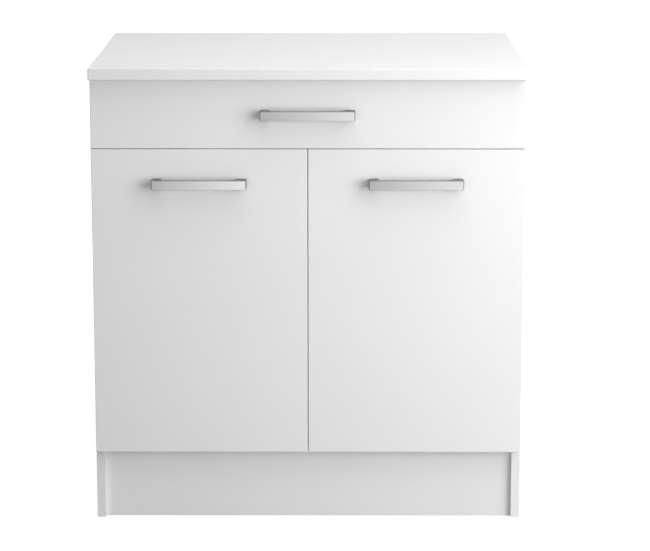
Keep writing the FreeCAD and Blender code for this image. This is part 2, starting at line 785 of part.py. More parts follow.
def hingeCupPattern():
    """The pot let into the door, with its screw flange and the two lugs that hold the pivot pin."""
    body = newBody("hingeCup", isNode=False)
    pot = circle(sketchOn(body, "XZ", "doorBack"), "cupX", "0", "cupRadius - cupFit")
    pad(body, pot, "cupDepth - cupFit")
    flange = rectangle(
        sketchOn(body, "XZ", "doorBack"),
        "cupX - cupFlangeNear",
        "cupX + cupFlangeFar",
        "-cupFlangeHalf",
        "cupFlangeHalf",
    )
    pad(body, flange, "cupFlangeThick", reverse=True)
    tall = number("cupFlangeHalf") - close

    def flangeCorner(edge):
        return runsAlong(edge, back) and abs(edge.CenterOfMass.z) > tall

    roundEdges(body, "cupFlangeCorner", flangeCorner)
    hollow = circle(sketchOn(body, "XZ", "flangeTop"), "cupX", "0", "cupInner")
    pocket(body, hollow, "cupFlangeThick + cupDepth - cupFit - cupWall", reverse=True)
    for sign in (-1, 1):
        lug = sketchOn(body, "XY", f"{sign} * lugStart")
        rectangle(lug, "-lugNear", "lugFar", "cupFloor", "lugHigh")
        pad(body, lug, "lugThick", reverse=sign < 0)
    pinHole = circle(sketchOn(body, "XY"), "0", "0", "hingePinRadius + holeFit")
    pocket(body, pinHole, "2 * lugEnd", middle=True)
    ears = [("cupX + cupScrewOffset", f"{sign} * cupScrewPitch / 2") for sign in (-1, 1)]
    drill(body, "XZ", "flangeTop", ears, "cupScrewRadius + holeFit", "cupFlangeThick", reverse=True)
    return body


def hingeArmPattern():
    """The arm on the carcass: a channel over its plate, a riser and a finger that turns on the pin."""
    body = newBody("hingeArm", isNode=False)
    barrel = circle(sketchOn(body, "XY"), "0", "0", "barrelRadius")
    pad(body, barrel, "2 * fingerHalf", middle=True)
    finger = rectangle(sketchOn(body, "XY"), "0", "riserX + armSheet", "-fingerLow", "fingerHigh")
    pad(body, finger, "2 * fingerHalf", middle=True)
    riser = rectangle(sketchOn(body, "XY"), "riserX", "armTop", "-fingerLow", "riserHigh")
    pad(body, riser, "2 * armHalf", middle=True)
    channel = rectangle(sketchOn(body, "XY"), "plateTop + armSkirtGap", "armTop", "riserHigh", "armEnd")
    pad(body, channel, "2 * armHalf", middle=True)
    inside = rectangle(sketchOn(body, "XY"), "panelFace", "blockTop", "riserHigh", "armEnd + armSheet")
    pocket(body, inside, "2 * (armHalf - armSheet)", middle=True)
    ridge = number("armTop") - close
    tail = number("armEnd") - close

    def backEdge(edge):
        return edge.BoundBox.XMin > ridge and edge.BoundBox.YMin < tail

    roundEdges(body, "armEdgeRadius", backEdge)
    notch = sketchOn(body, "YZ", "armTop")
    rectangle(notch, "armEnd - armNotch", "armEnd + armSheet", "-armNotchHalf", "armNotchHalf")
    pocket(body, notch, "armSheet")
    hole = circle(sketchOn(body, "YZ", "armTop"), "plateMiddle - armHoleAhead", "0", "armHoleRadius")
    pocket(body, hole, "armSheet")
    pinHole = circle(sketchOn(body, "XY"), "0", "0", "hingePinRadius + runningClearance")
    pocket(body, pinHole, "2 * armHalf", middle=True)
    return body


def hingePlatePattern():
    """The cross plate screwed to the side panel, with the block that the arm rides on."""
    body = newBody("hingePlate", isNode=False)
    base = rectangle(
        sketchOn(body, "YZ", "panelFace"),
        "plateMiddle - plateHalfWidth",
        "plateMiddle + plateHalfWidth",
        "-plateHalfHeight",
        "plateHalfHeight",
    )
    pad(body, base, "plateThick")
    roundEdges(body, "plateCorner", lambda edge: runsAlong(edge, right))
    half = "(armHalf - armSheet - blockFit)"
    block = rectangle(
        sketchOn(body, "YZ", "panelFace"),
        "plateMiddle - blockHalfLength",
        "plateMiddle + blockHalfLength",
        f"-{half}",
        half,
    )
    pad(body, block, "plateThick + blockRise")
    spots = [("plateMiddle", f"{sign} * plateScrewPitch / 2") for sign in (-1, 1)]
    drill(body, "YZ", "plateTop", spots, "plateScrewRadius + holeFit", "plateThick")
    return body


def camPattern(label, height, boltAt):
    """A cam disc with the slot that takes the bolt's head, its outer face at local Z zero."""
    body = newBody(label, isNode=False)
    pad(body, circle(sketchOn(body, "XY"), "0", "0", "camRadius"), height)
    half = "(boltHeadRadius + camSlotClear)"
    slot = sketchOn(body, "YZ", "-(boltHead / 2 + camSlotClear)")
    rectangle(slot, f"-{half}", half, f"{boltAt} - {half}", f"{boltAt} + {half}")
    pocket(body, slot, "2 * camRadius", reverse=True)
    return body


def boltSteps(reach):
    return [
        ("boltThreadRadius", "boltSink"),
        ("boltShankRadius", f"{reach} - boltNeck - boltHead / 2"),
        ("boltNeckRadius", "boltNeck"),
        ("boltHeadRadius", "boltHead"),
    ]


backScrewRises = ["backScrewLow", "backScrewHigh"]

# Carcass
for hand, side in hands.items():
    sidePanel(hand, side)
bottomPanel()
topRail("front_top_rail", "carcassFrontY", "carcassFrontY + topRailDepth", frontRailBolts, frontRailDowels)
topRail("rear_top_rail", "backPanelY - topRailDepth", "backPanelY", rearRailBolts, rearRailDowels)
backPanel()
plinth()
worktopScrewSpots = worktop()
shelf()
shelfPin = turned("shelfPin", [("shelfPinRadius", "shelfPinSink"), ("shelfPinStubRadius", "shelfPinReach")])
copies(
    "shelf_pins",
    shelfPin,
    [
        (f"{side} * (insideHalf + shelfPinSink)", y, "shelfPinZ", pointing(right * -side))
        for side in hands.values()
        for y in shelfPinColumns
    ],
)

# Carcass fittings
carcassCam = camPattern("carcassCam", "camHeight", "boardThick / 2")
camTurns = {-1: Rotation(up, 180), 1: level}
plinthCamTurns = {-1: faced(-right, -up, -back), 1: faced(right, up, -back)}
camSpots = [
    (f"{side} * (insideHalf - camReach)", y, f"{z} - boardThick / 2", camTurns[side])
    for side in hands.values()
    for y, z in levelBolts
]
camSpots += [
    (f"{side} * (insideHalf - camReach)", "plinthY + boardThick", plinthBolts[0][1], plinthCamTurns[side])
    for side in hands.values()
]
copies("cam_discs", carcassCam, camSpots)
carcassBolt = turned("carcassBolt", boltSteps("camReach"))
boltSpots = [
    (f"{side} * (insideHalf + boltSink)", y, z, pointing(right * -side))
    for side in hands.values()
    for y, z in allBolts
]
copies("cam_bolts", carcassBolt, boltSpots)
dowel = turned("dowel", [("dowelRadius", "dowelSink + dowelReach")], chamfer="dowelChamfer")
dowelSpots = [
    (f"{side} * (insideHalf + dowelSink)", y, z, pointing(right * -side))
    for side in hands.values()
    for y, z in allDowels
]
copies("wood_dowels", dowel, dowelSpots)
worktopScrew = turned(
    "worktopScrew",
    [("worktopScrewHeadRadius", "worktopScrewHead"), ("worktopScrewRadius", "boardThick + worktopScrewGrip")],
)
copies(
    "worktop_screws",
    worktopScrew,
    [(x, y, "topRailLow - worktopScrewHead", pointing(up)) for x, y in worktopScrewSpots],
)

# Drawer box and its front
drawerFront()
for hand, side in hands.items():
    drawerSide(hand, side)
drawerBack()
drawerBottom()
drawerCam = camPattern("drawerCam", "drawerCamHeight", "drawerSideThick / 2")
drawerCamTurns = {-1: faced(-back, up, -right), 1: faced(-back, -up, right)}
copies(
    "drawer_cams",
    drawerCam,
    [
        (f"{side} * drawerInner", "frontBackY + drawerCamReach", "drawerCamZ", drawerCamTurns[side])
        for side in hands.values()
    ],
)
drawerBolt = turned("drawerBolt", boltSteps("drawerCamReach"))
drawerSideMiddle = "(drawerOuter - drawerSideThick / 2)"
copies(
    "drawer_cam_bolts",
    drawerBolt,
    [
        (f"{side} * {drawerSideMiddle}", "frontBackY - boltSink", "drawerCamZ", pointing(back))
        for side in hands.values()
    ],
)
backScrew = turned(
    "backScrew",
    [
        ("backScrewHeadRadius", "backScrewHead"),
        ("backScrewRadius", "drawerSideThick - backScrewHead + backScrewGrip"),
    ],
)
backScrewY = "drawerBackY - drawerSideThick / 2"
copies(
    "drawer_back_screws",
    backScrew,
    [
        (f"{side} * drawerOuter", backScrewY, f"drawerLow + {rise}", pointing(right * -side))
        for side in hands.values()
        for rise in backScrewRises
    ],
)

# Runners, their rollers and screws
roller = turned("roller", [("rollerRadius", "rollerWidth")], "axleRadius + runningClearance", "rollerChamfer")
runnerScrew = turned(
    "runnerScrew",
    [("runnerScrewHeadRadius", "runnerScrewHead"), ("runnerScrewRadius", "runnerSheet + runnerScrewGrip")],
)
slideScrew = turned(
    "slideScrew",
    [
        ("runnerScrewHeadRadius", "runnerScrewHead"),
        ("runnerScrewRadius", "runnerSheet + drawerSideThick / 2 - holeEnd"),
    ],
)
for hand, side in hands.items():
    runnerRail(hand, side)
    drawerSlide(hand, side)
    railX = f"{side} * (insideHalf - railRollerIn)"
    copies(f"{hand}_rail_roller", roller, [(railX, "railRollerY", "railRollerZ", pointing(right * -side))])
    slideX = f"{side} * (insideHalf - slideRollerIn)"
    copies(f"{hand}_slide_roller", roller, [(slideX, "slideRollerY", "slideRollerZ", pointing(right * side))])
copies(
    "runner_screws",
    runnerScrew,
    [
        (f"{side} * (insideHalf - runnerSheet - runnerScrewHead)", y, z, pointing(right * side))
        for side in hands.values()
        for y, z in runnerScrews
    ],
)
slideHeadX = "(drawerOuter + runnerSheet + runnerScrewHead)"
copies(
    "slide_screws",
    slideScrew,
    [
        (f"{side} * {slideHeadX}", y, z, pointing(right * -side))
        for side in hands.values()
        for y, z in slideScrews
    ],
)

# Doors, hinges and handles
hingeCup = hingeCupPattern()
hingeArm = hingeArmPattern()
hingePlate = hingePlatePattern()
pinHalf = "(lugEnd - hingePinEnd)"
hingePin = turned("hingePin", [("hingePinRadius", f"2 * {pinHalf}")])
cupScrew = turned(
    "cupScrew",
    [("cupScrewHeadRadius", "cupScrewHead"), ("cupScrewRadius", "cupFlangeThick + cupScrewGrip")],
)
plateScrew = turned(
    "plateScrew",
    [("plateScrewHeadRadius", "plateScrewHead"), ("plateScrewRadius", "plateThick + plateScrewGrip")],
)
bumper = turned("bumper", [("bumperRadius", "bumperThick")])
handle = handlePattern()
handleScrew = turned(
    "handleScrew",
    [("handleScrewHeadRadius", "handleScrewHead"), ("handleScrewRadius", "frontThick + handleScrewGrip")],
)


def addHandle(label, x, z):
    copies(label, handle, [(x, "frontY", z, level)])
    screws = [
        (f"{x} + {sign} * handlePitch / 2", "frontBackY + handleScrewHead", z, pointing(-back))
        for sign in (-1, 1)
    ]
    copies(f"{label}_screws", handleScrew, screws)


addHandle("drawer_handle", "0", "drawerMiddleZ")
copies(
    "drawer_bumpers",
    bumper,
    [
        (f"{side} * (halfWidth - boardThick / 2)", "frontBackY", "drawerMiddleZ", pointing(back))
        for side in hands.values()
    ],
)
for hand, side in hands.items():
    door(hand, side)
    addHandle(f"{hand}_door_handle", f"{side} * doorMiddle", "doorHandleZ")
    facing = level if side < 0 else halfTurn
    for place, height in hingeHeights.items():
        spot = (f"{side} * pivotX", "pivotY", height, facing)
        copies(f"{place}_{hand}_hinge_cup", hingeCup, [spot])
        copies(f"{place}_{hand}_hinge_arm", hingeArm, [spot])
    heights = hingeHeights.values()
    copies(f"{hand}_hinge_plates", hingePlate, [(f"{side} * pivotX", "pivotY", z, facing) for z in heights])
    pins = [(f"{side} * pivotX", "pivotY", f"{z} - {pinHalf}", pointing(up)) for z in heights]
    copies(f"{hand}_hinge_pins", hingePin, pins)
    screwX = f"{side} * (frontHalf - cupEdgeDistance - cupRadius - cupScrewOffset)"
    screwY = "frontBackY + cupFlangeThick + cupScrewHead"
    cupScrews = [
        (screwX, screwY, f"{z} + {sign} * cupScrewPitch / 2", pointing(-back))
        for z in heights
        for sign in (-1, 1)
    ]
    copies(f"{hand}_hinge_cup_screws", cupScrew, cupScrews)
    bumperSpot = (f"{side} * (frontGap / 2 + bumperInset)", "frontBackY", "bottomMiddleZ", pointing(back))
    copies(f"{hand}_door_bumper", bumper, [bumperSpot])
copies(
    "hinge_plate_screws",
    plateScrew,
    [
        (f"{side} * (insideHalf - plateThick - plateScrewHead)", y, z, pointing(right * side))
        for side in hands.values()
        for y, z in plateScrews
    ],
)

# Every object has to be sound before anything is written
doc.recompute()
for thing in doc.Objects:
    if "Invalid" in thing.State or "Error" in thing.State:
        raise RuntimeError(f"{thing.Label} failed: {thing.State}")
    if thing.TypeId == "PartDesign::Pocket":
        before = thing.BaseFeature.Shape.Volume
        if thing.Shape.Volume > before - leastCut:
            raise RuntimeError(f"{thing.Label} cuts nothing")
for node in nodes:
    if node.Shape.isNull() or not node.Shape.isValid():
        raise RuntimeError(f"{node.Label} has no sound shape")

os.makedirs("parts", exist_ok=True)
for node in nodes:
    node.Shape.exportStep(f"parts/{node.Label}.step")
print(f"{len(nodes)} sub-parts written")
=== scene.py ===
import bpy
import bmesh
import json
import math
from mathutils import Matrix, Vector


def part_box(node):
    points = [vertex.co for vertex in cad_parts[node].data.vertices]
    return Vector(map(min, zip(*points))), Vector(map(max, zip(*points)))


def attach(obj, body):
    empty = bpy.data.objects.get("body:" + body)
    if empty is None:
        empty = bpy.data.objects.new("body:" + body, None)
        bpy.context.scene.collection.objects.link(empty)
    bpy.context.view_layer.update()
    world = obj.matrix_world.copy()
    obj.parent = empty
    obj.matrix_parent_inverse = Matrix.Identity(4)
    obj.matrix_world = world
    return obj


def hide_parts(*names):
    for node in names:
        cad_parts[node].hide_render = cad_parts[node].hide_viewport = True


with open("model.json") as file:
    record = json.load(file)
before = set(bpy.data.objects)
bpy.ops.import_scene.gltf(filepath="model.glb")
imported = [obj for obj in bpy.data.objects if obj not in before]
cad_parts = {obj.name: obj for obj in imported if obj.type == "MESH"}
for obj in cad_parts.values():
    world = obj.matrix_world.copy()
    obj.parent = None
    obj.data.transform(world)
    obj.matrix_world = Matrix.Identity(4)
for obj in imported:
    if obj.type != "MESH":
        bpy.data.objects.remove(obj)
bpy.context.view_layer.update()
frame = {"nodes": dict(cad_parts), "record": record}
nodes = frame["nodes"]
slotOf = {row["node"]: row["material_slot"] for row in frame["record"]["subparts"]}


# Shader helpers: nodes, links, and the steps that effects and finishes are made of

def addNode(tree, kind, settings=None, inputs=None):
    made = tree.nodes.new(kind)
    for label, value in (settings or {}).items():
        setattr(made, label, value)
    for label, value in (inputs or {}).items():
        made.inputs[label].default_value = value
    return made


def link(tree, fromSocket, toSocket):
    tree.links.new(fromSocket, toSocket)


def feed(tree, value, socket):
    # another node's output is linked, and a number or a colour is set
    if isinstance(value, bpy.types.NodeSocket):
        link(tree, value, socket)
    else:
        socket.default_value = (*value, 1.0) if isinstance(value, tuple) else value


def combine(tree, operation, first, second):
    made = addNode(tree, "ShaderNodeMath", {"operation": operation})
    feed(tree, first, made.inputs[0])
    feed(tree, second, made.inputs[1])
    return made.outputs[0]


def combineVectors(tree, operation, first, second):
    made = addNode(tree, "ShaderNodeVectorMath", {"operation": operation})
    link(tree, first, made.inputs[0])
    link(tree, second, made.inputs[1])
    return made.outputs[0]


def split(tree, vector):
    made = addNode(tree, "ShaderNodeSeparateXYZ")
    link(tree, vector, made.inputs[0])
    return made.outputs


def weigh(tree, first, share, second):
    # a sum of this share of the first and the rest of the second
    kept = combine(tree, "MULTIPLY", first, share)
    return combine(tree, "ADD", kept, combine(tree, "MULTIPLY", second, 1 - share))


def spread(tree, value, low, high, toLow=0.0, toHigh=1.0):
    made = addNode(tree, "ShaderNodeMapRange", {"clamp": True}, {
        "From Min": low, "From Max": high, "To Min": toLow, "To Max": toHigh,
    })
    link(tree, value, made.inputs["Value"])
    return made.outputs["Result"]


def fade(tree, value, full, gone):
    # 1 up to one value, and 0 from the other on
    return spread(tree, value, full, gone, 1.0, 0.0)


def between(tree, value, low, high):
    # 0 to 1 made into low to high
    return spread(tree, value, 0.0, 1.0, low, high)


# a Mix node has sockets for each kind of data, and these are the ones for colour
mixSockets = {"factor": 0, "first": 6, "second": 7, "result": 2}


def blendColor(tree, factor, first, second):
    made = addNode(tree, "ShaderNodeMix", {"data_type": "RGBA"})
    link(tree, factor, made.inputs[mixSockets["factor"]])
    feed(tree, first, made.inputs[mixSockets["first"]])
    feed(tree, second, made.inputs[mixSockets["second"]])
    return made.outputs[mixSockets["result"]]


def noise(tree, place, scale, detail, roughness):
    made = addNode(tree, "ShaderNodeTexNoise", None, {"Detail": detail, "Roughness": roughness})
    link(tree, place, made.inputs["Vector"])
    feed(tree, scale, made.inputs["Scale"])
    return made.outputs[0]


def stretch(tree, place, scale):
    made = addNode(tree, "ShaderNodeMapping", None, {"Scale": scale})
    link(tree, place, made.inputs["Vector"])
    return made.outputs[0]


# Effects that several finishes share. Each takes a place and the values that are named

def startGroup(name, inputs, outputs):
    tree = bpy.data.node_groups.new(name, "ShaderNodeTree")
    for way, sockets in (("INPUT", {"Place": "Vector", **inputs}), ("OUTPUT", outputs)):
        for label, kind in sockets.items():
            tree.interface.new_socket(name=label, in_out=way, socket_type="NodeSocket" + kind)
    given = addNode(tree, "NodeGroupInput").outputs
    put = addNode(tree, "NodeGroupOutput").inputs
    return tree, given, put


# noise keeps mostly to this middle part of its range
noiseRange = (0.3, 0.7)

skinValues = {"smearScale": 9.0, "smearShare": 0.7}


def boardSkinGroup():
    # pressed melamine: broad cloudiness, and the small pearls of the press plate
    tree, given, put = startGroup(
        "boardSkin",
        {"Cloud Scale": "Float", "Pearl Scale": "Float"},
        {"Cloud": "Float", "Gloss": "Float", "Height": "Float"},
    )
    place = given["Place"]
    cloud = noise(tree, place, given["Cloud Scale"], detail=4.0, roughness=0.55)
    pearl = noise(tree, place, given["Pearl Scale"], detail=2.0, roughness=0.4)
    smear = noise(tree, place, skinValues["smearScale"], detail=5.0, roughness=0.6)
    gloss = weigh(tree, smear, skinValues["smearShare"], pearl)
    link(tree, spread(tree, cloud, *noiseRange), put["Cloud"])
    link(tree, spread(tree, gloss, *noiseRange), put["Gloss"])
    link(tree, pearl, put["Height"])
    return tree


# in metres: how thick the band is, and between which distances each sign of an edge fades
edgeValues = {
    "bandThick": 0.001,
    "joint": (0.00008, 0.0002),
    "rub": (0.0002, 0.0016),
    "rear": (0.0001, 0.0003),
    "raw": (0.0009, 0.0011),
    "patchScale": 38.0,
    "patchRange": (0.46, 0.66),
}


def boardEdgesGroup():
    # found from a board's box: the band's joint line, rubbed corners, and raw chipboard in bores
    # and at the rear
    tree, given, put = startGroup(
        "boardEdges",
        {"Low": "Vector", "High": "Vector", "Banded": "Vector", "Raw Rear": "Float"},
        {"Joint": "Float", "Wear": "Float", "Raw": "Float"},
    )
    place = given["Place"]
    toHigh = combineVectors(tree, "SUBTRACT", given["High"], place)
    toLow = combineVectors(tree, "SUBTRACT", place, given["Low"])
    x, y, z = split(tree, combineVectors(tree, "MINIMUM", toLow, toHigh))
    joints = []
    for depth, share in zip((x, y, z), split(tree, given["Banded"])):
        off = combine(tree, "SUBTRACT", depth, edgeValues["bandThick"])
        line = fade(tree, combine(tree, "ABSOLUTE", off, 0.0), *edgeValues["joint"])
        joints.append(combine(tree, "MULTIPLY", line, share))
    joint = combine(tree, "MAXIMUM", combine(tree, "MAXIMUM", joints[0], joints[1]), joints[2])
    link(tree, joint, put["Joint"])
    lesser = combine(tree, "MINIMUM", x, y)
    greater = combine(tree, "MAXIMUM", x, y)
    nearest = combine(tree, "MINIMUM", lesser, z)
    second = combine(tree, "MAXIMUM", lesser, combine(tree, "MINIMUM", greater, z))
    rub = fade(tree, second, *edgeValues["rub"])
    patches = noise(tree, place, edgeValues["patchScale"], detail=6.0, roughness=0.65)
    patches = spread(tree, patches, *edgeValues["patchRange"])
    link(tree, combine(tree, "MULTIPLY", rub, patches), put["Wear"])
    rear = fade(tree, split(tree, toHigh)[1], *edgeValues["rear"])
    rear = combine(tree, "MULTIPLY", rear, given["Raw Rear"])
    inside = spread(tree, nearest, *edgeValues["raw"])
    link(tree, combine(tree, "MAXIMUM", inside, rear), put["Raw"])
    return tree


chipsValues = {
    "dark": (0.36, 0.25, 0.15),
    "light": (0.62, 0.47, 0.31),
    "dust": (0.5, 0.38, 0.25),
    "flakeScale": 520.0,
    "flakeStretch": (0.6, 1.0, 1.7),
    "dustScale": 240.0,
    "dustRange": (0.35, 0.75),
}


def chipsGroup():
    # cut chipboard: pressed flakes of several browns
    tree, given, put = startGroup("chips", {}, {"Color": "Color", "Height": "Float"})
    place = given["Place"]
    flakes = addNode(tree, "ShaderNodeTexVoronoi", None, {"Scale": chipsValues["flakeScale"]})
    link(tree, stretch(tree, place, chipsValues["flakeStretch"]), flakes.inputs["Vector"])
    tone = addNode(tree, "ShaderNodeSeparateColor")
    link(tree, flakes.outputs["Color"], tone.inputs[0])
    dust = noise(tree, place, chipsValues["dustScale"], detail=4.0, roughness=0.6)
    dust = spread(tree, dust, *chipsValues["dustRange"])
    color = blendColor(tree, tone.outputs[0], chipsValues["dark"], chipsValues["light"])
    link(tree, blendColor(tree, dust, color, chipsValues["dust"]), put["Color"])
    link(tree, flakes.outputs["Distance"], put["Height"])
    return tree


linesValues = {"broadStretch": (0.3, 0.3, 0.3), "fineShare": 0.6, "glossRange": (0.25, 0.75)}


def brushedLinesGroup():
    # fine drawn lines along one direction, set by a stretched place
    tree, given, put = startGroup(
        "brushedLines", {}, {"Tone": "Float", "Gloss": "Float", "Height": "Float"},
    )
    place = given["Place"]
    fine = noise(tree, place, 1.0, detail=2.0, roughness=0.7)
    broad = stretch(tree, place, linesValues["broadStretch"])
    broad = noise(tree, broad, 1.0, detail=3.0, roughness=0.5)
    tone = weigh(tree, fine, linesValues["fineShare"], broad)
    link(tree, spread(tree, tone, *noiseRange), put["Tone"])
    link(tree, spread(tree, fine, *linesValues["glossRange"]), put["Gloss"])
    link(tree, fine, put["Height"])
    return tree


plateValues = {
    "markScale": 900.0,
    "patchShare": 0.6,
    "patchRange": (0.32, 0.68),
    "glossRange": (0.35, 0.65),
}


def platedGroup():
    # plating: soft bright and dull patches, and small handling marks
    tree, given, put = startGroup(
        "plated", {"Patch Scale": "Float"},
        {"Patch": "Float", "Gloss": "Float", "Height": "Float"},
    )
    place = given["Place"]
    patch = noise(tree, place, given["Patch Scale"], detail=5.0, roughness=0.6)
    marks = noise(tree, place, plateValues["markScale"], detail=3.0, roughness=0.6)
    gloss = weigh(tree, patch, plateValues["patchShare"], marks)
    link(tree, spread(tree, patch, *plateValues["patchRange"]), put["Patch"])
    link(tree, spread(tree, gloss, *plateValues["glossRange"]), put["Gloss"])
    link(tree, marks, put["Height"])
    return tree


mouldValues = {"flowScale": 60.0, "flowShare": 0.5}


def mouldedGroup():
    # orange peel of paint and the grain of a moulding tool
    tree, given, put = startGroup(
        "moulded", {"Grain Scale": "Float"},
        {"Tone": "Float", "Gloss": "Float", "Height": "Float"},
    )
    place = given["Place"]
    grain = noise(tree, place, given["Grain Scale"], detail=3.0, roughness=0.5)
    flow = noise(tree, place, mouldValues["flowScale"], detail=4.0, roughness=0.55)
    gloss = weigh(tree, flow, mouldValues["flowShare"], grain)
    link(tree, spread(tree, flow, *noiseRange), put["Tone"])
    link(tree, spread(tree, gloss, *noiseRange), put["Gloss"])
    link(tree, grain, put["Height"])
    return tree


effects = {
    "boardSkin": boardSkinGroup(),
    "boardEdges": boardEdgesGroup(),
    "chips": chipsGroup(),
    "brushedLines": brushedLinesGroup(),
    "plated": platedGroup(),
    "moulded": mouldedGroup(),
}
print("shared effects:", ", ".join(effects))


# Finishes

def startFinish(name):
    material = bpy.data.materials.new(name)
    material.use_nodes = True
    tree = material.node_tree
    shader = tree.nodes["Principled BSDF"]
    place = addNode(tree, "ShaderNodeTexCoord").outputs["Object"]
    return material, tree, shader, place


def useEffect(tree, name, place, values=None):
    made = addNode(tree, "ShaderNodeGroup", {"node_tree": effects[name]}, values)
    link(tree, place, made.inputs["Place"])
    return made.outputs


def addBump(tree, shader, height, strength, depth):
    bump = addNode(tree, "ShaderNodeBump", None, {"Strength": strength, "Distance": depth})
    link(tree, height, bump.inputs["Height"])
    link(tree, bump.outputs["Normal"], shader.inputs["Normal"])


boardLook = {
    "tint": (0.868, 0.868, 0.864),
    "cloudTint": (0.846, 0.847, 0.844),
    "jointTint": (0.60, 0.60, 0.59),
    "wornTint": (0.82, 0.815, 0.80),
    "cloudScale": 2.2,
    "pearlScale": 700.0,
    "rough": (0.34, 0.46),
    "rawRougher": 0.4,
    "bumpStrength": 0.10,
    "bumpDepth": 0.0001,
    "specular": 0.45,
}

# boards: the axes whose edges carry a band, and 1 where the rear edge is left raw
boards = {
    "worktop": {"banded": (1, 1, 0), "rawRear": 1.0},
    "left_side_panel": {"banded": (0, 1, 0), "rawRear": 1.0},
    "right_side_panel": {"banded": (0, 1, 0), "rawRear": 1.0},
    "bottom_panel": {"banded": (0, 1, 0), "rawRear": 1.0},
    "shelf": {"banded": (1, 1, 0), "rawRear": 0.0},
    "front_top_rail": {"banded": (0, 1, 0), "rawRear": 1.0},
    "rear_top_rail": {"banded": (0, 1, 0), "rawRear": 1.0},
    "plinth": {"banded": (0, 0, 1), "rawRear": 0.0},
    "left_door": {"banded": (1, 0, 1), "rawRear": 0.0},
    "right_door": {"banded": (1, 0, 1), "rawRear": 0.0},
    "drawer_front": {"banded": (1, 0, 1), "rawRear": 0.0},
    "drawer_left_side": {"banded": (0, 0, 1), "rawRear": 1.0},
    "drawer_right_side": {"banded": (0, 0, 1), "rawRear": 1.0},
    "drawer_back": {"banded": (0, 0, 1), "rawRear": 0.0},
}


def boardFinish(name, values):
    low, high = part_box(name)
    material, tree, shader, place = startFinish("melamine_" + name)
    skin = useEffect(tree, "boardSkin", place, {
        "Cloud Scale": boardLook["cloudScale"], "Pearl Scale": boardLook["pearlScale"],
    })
    edges = useEffect(tree, "boardEdges", place, {
        "Low": low, "High": high, "Banded": values["banded"], "Raw Rear": values["rawRear"],
    })
    chips = useEffect(tree, "chips", place)
    color = blendColor(tree, skin["Cloud"], boardLook["tint"], boardLook["cloudTint"])
    color = blendColor(tree, edges["Wear"], color, boardLook["wornTint"])
    color = blendColor(tree, edges["Joint"], color, boardLook["jointTint"])
    color = blendColor(tree, edges["Raw"], color, chips["Color"])
    link(tree, color, shader.inputs["Base Color"])
    rough = between(tree, skin["Gloss"], *boardLook["rough"])
    rougher = combine(tree, "MULTIPLY", edges["Raw"], boardLook["rawRougher"])
    link(tree, combine(tree, "ADD", rough, rougher), shader.inputs["Roughness"])
    height = combine(tree, "SUBTRACT", skin["Height"], edges["Joint"])
    flakes = combine(tree, "MULTIPLY", edges["Raw"], chips["Height"])
    height = combine(tree, "ADD", height, flakes)
    addBump(tree, shader, height, boardLook["bumpStrength"], boardLook["bumpDepth"])
    shader.inputs["Specular IOR Level"].default_value = boardLook["specular"]
    return material


hardboardLook = {
    "paint": (0.83, 0.83, 0.82),
    "paintCloud": (0.80, 0.80, 0.785),
    "fibreDark": (0.30, 0.20, 0.115),
    "fibreLight": (0.43, 0.30, 0.185),
    "knot": (0.24, 0.155, 0.085),
    "cloudScale": 3.5,
    "pearlScale": 420.0,
    "fibreStretch": (260, 260, 90),
    "knotScale": 55.0,
    "knotRange": (0.35, 0.7),
    "knotShare": 0.35,
    "paintEdge": 0.0002,
    "rough": (0.42, 0.55),
    "rawRougher": 0.3,
    "bumpStrength": 0.18,
    "bumpDepth": 0.00015,
}

# hardboard is painted on the side seen from inside: the axis across it, and the side left raw
hardboards = {
    "back_panel": {"across": 1, "rawSide": 1},
    "drawer_bottom": {"across": 2, "rawSide": -1},
}


def hardboardFinish(name, values):
    low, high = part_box(name)
    across = values["across"]
    material, tree, shader, place = startFinish("hardboard_" + name)
    middle = (low[across] + high[across]) / 2
    half = hardboardLook["paintEdge"] * values["rawSide"]
    raw = spread(tree, split(tree, place)[across], middle - half, middle + half)
    skin = useEffect(tree, "boardSkin", place, {
        "Cloud Scale": hardboardLook["cloudScale"], "Pearl Scale": hardboardLook["pearlScale"],
    })
    fibre = stretch(tree, place, hardboardLook["fibreStretch"])
    fibre = noise(tree, fibre, 1.0, detail=6.0, roughness=0.7)
    fibre = spread(tree, fibre, *noiseRange)
    knots = noise(tree, place, hardboardLook["knotScale"], detail=5.0, roughness=0.6)
    knots = spread(tree, knots, *hardboardLook["knotRange"])
    knots = combine(tree, "MULTIPLY", knots, hardboardLook["knotShare"])
    paint = blendColor(tree, skin["Cloud"], hardboardLook["paint"], hardboardLook["paintCloud"])
    brown = blendColor(tree, fibre, hardboardLook["fibreDark"], hardboardLook["fibreLight"])
    brown = blendColor(tree, knots, brown, hardboardLook["knot"])
    link(tree, blendColor(tree, raw, paint, brown), shader.inputs["Base Color"])
    rough = between(tree, skin["Gloss"], *hardboardLook["rough"])
    rougher = combine(tree, "MULTIPLY", raw, hardboardLook["rawRougher"])
    link(tree, combine(tree, "ADD", rough, rougher), shader.inputs["Roughness"])
    height = combine(tree, "ADD", skin["Height"], combine(tree, "MULTIPLY", raw, fibre))
    addBump(tree, shader, height, hardboardLook["bumpStrength"], hardboardLook["bumpDepth"])
    return material


# the bar's front carries a painted highlight, painted brighter and brighter from its left end to
# its right over its brushed lines, and the rest of the handle is painted dark as painted shade
steelLook = {
    "dullLeftOfPaintedSweep": (0.383, 0.383, 0.382),
    "brightLeftOfPaintedSweep": (0.464, 0.464, 0.461),
    "dullRightOfPaintedSweep": (0.672, 0.672, 0.668),
    "brightRightOfPaintedSweep": (0.785, 0.785, 0.781),
    "side": (0.085, 0.085, 0.086),
    "paintedShadeSideLine": (0.145, 0.145, 0.146),
    "frontNormal": (-0.75, -0.95),
    "lineStretch": (14.0, 2600.0, 2600.0),
    "rough": (0.24, 0.38),
    "bumpStrength": 0.12,
    "bumpDepth": 0.00005,
    "anisotropic": 0.35,
}


